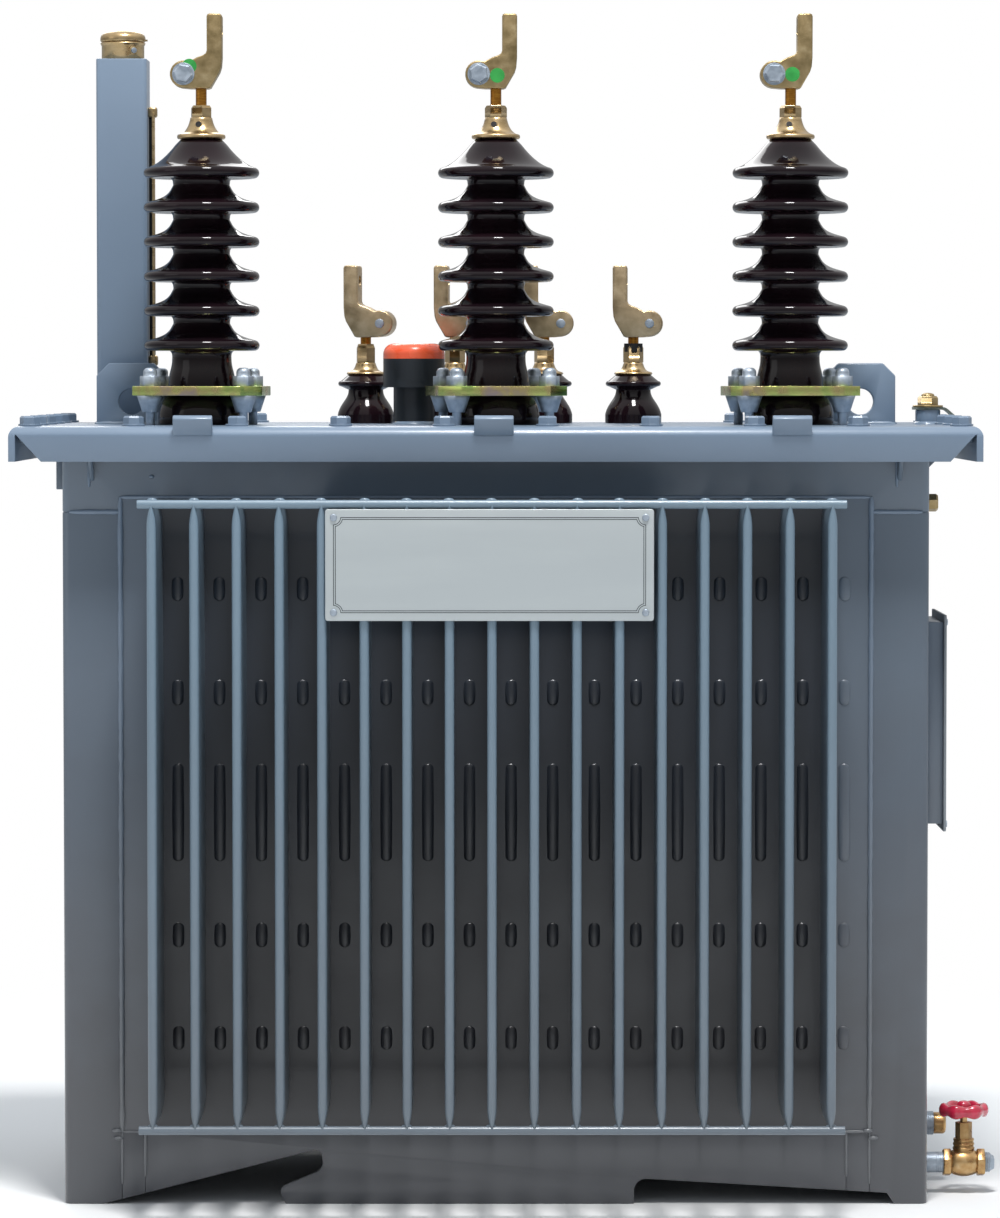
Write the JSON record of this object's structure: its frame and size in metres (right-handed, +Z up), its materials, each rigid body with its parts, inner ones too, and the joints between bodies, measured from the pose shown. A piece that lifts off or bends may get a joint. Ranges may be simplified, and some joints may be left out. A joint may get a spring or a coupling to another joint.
{
  "type": "oil-filled three-phase power transformer",
  "caption": "Oil-filled power transformer: corrugated tank with flanged cover, shed bushings, clamp terminals, lifting lugs, filler pipe and drain valve.",
  "frame": {"origin": "on the ground, under the middle of the whole object's box", "axes": "+Z up, +X to the right along the row of bushings, -Y towards the front with the bare plate"},
  "size_m": [1.068, 0.663, 1.2945],
  "materials": {
    "tank_paint": "satin",
    "brown_porcelain": "gloss",
    "yellow_zinc": "satin",
    "zinc_steel": "satin",
    "terminal_brass": "satin",
    "gauge_brass": "satin",
    "black_plastic": "matte",
    "orange_plastic": "gloss",
    "tinned_strap": "satin",
    "bare_plate": "satin",
    "dark_plate": "satin",
    "valve_bronze": "satin",
    "red_enamel": "gloss"
  },
  "bodies": {
    "transformer": {"corner_foot_plates": "tank_paint", "cover": "tank_paint", "drain_pipe": "zinc_steel", "drain_valve": "valve_bronze", "earth_boss": "tank_paint", "earth_nuts": "terminal_brass", "earth_strap": "tinned_strap", "edge_tabs": "tank_paint", "filler_cap": "terminal_brass", "filler_pipe": "tank_paint", "fin_stay_rods": "tank_paint", "flange_gussets": "tank_paint", "front_fins": "tank_paint", "front_skirt": "tank_paint", "front_wall_panel": "tank_paint", "hv_bushing_1": "brown_porcelain", "hv_bushing_2": "brown_porcelain", "hv_bushing_3": "brown_porcelain", "hv_caps": "terminal_brass", "hv_clamp_ring_1": "yellow_zinc", "hv_clamp_ring_2": "yellow_zinc", "hv_clamp_ring_3": "yellow_zinc", "hv_clamp_studs": "zinc_steel", "hv_terminal_1": "terminal_brass", "hv_terminal_2": "terminal_brass", "hv_terminal_3": "terminal_brass", "indicator_body": "black_plastic", "indicator_cap": "orange_plastic", "left_end_wall": "tank_paint", "left_lifting_lug": "tank_paint", "level_gauge": "gauge_brass", "lv_bushing_1": "brown_porcelain", "lv_bushing_2": "brown_porcelain", "lv_bushing_3": "brown_porcelain", "lv_bushing_4": "brown_porcelain", "lv_caps": "terminal_brass", "lv_terminals": "terminal_brass", "outlet_plug": "zinc_steel", "plate_bracket": "tank_paint", "plug_end": "valve_bronze", "plug_nipple": "zinc_steel", "rating_plate": "dark_plate", "rear_fins": "tank_paint", "rear_skirt": "tank_paint", "rear_wall_panel": "tank_paint", "right_end_wall": "tank_paint", "right_lifting_lug": "tank_paint", "sign_plate": "bare_plate", "tank_floor": "tank_paint", "top_frame": "tank_paint"},
    "handwheel": {"handwheel": "red_enamel", "valve_stem": "valve_bronze"}
  },
  "joints": [
    {"name": "drain_valve_turn", "type": "hinge", "parent": "transformer", "child": "handwheel", "pos_m": [0.5005, -0.1285, 0.084], "axis": [0, 0, 1], "range_deg": [0, 1080]}
  ]
}
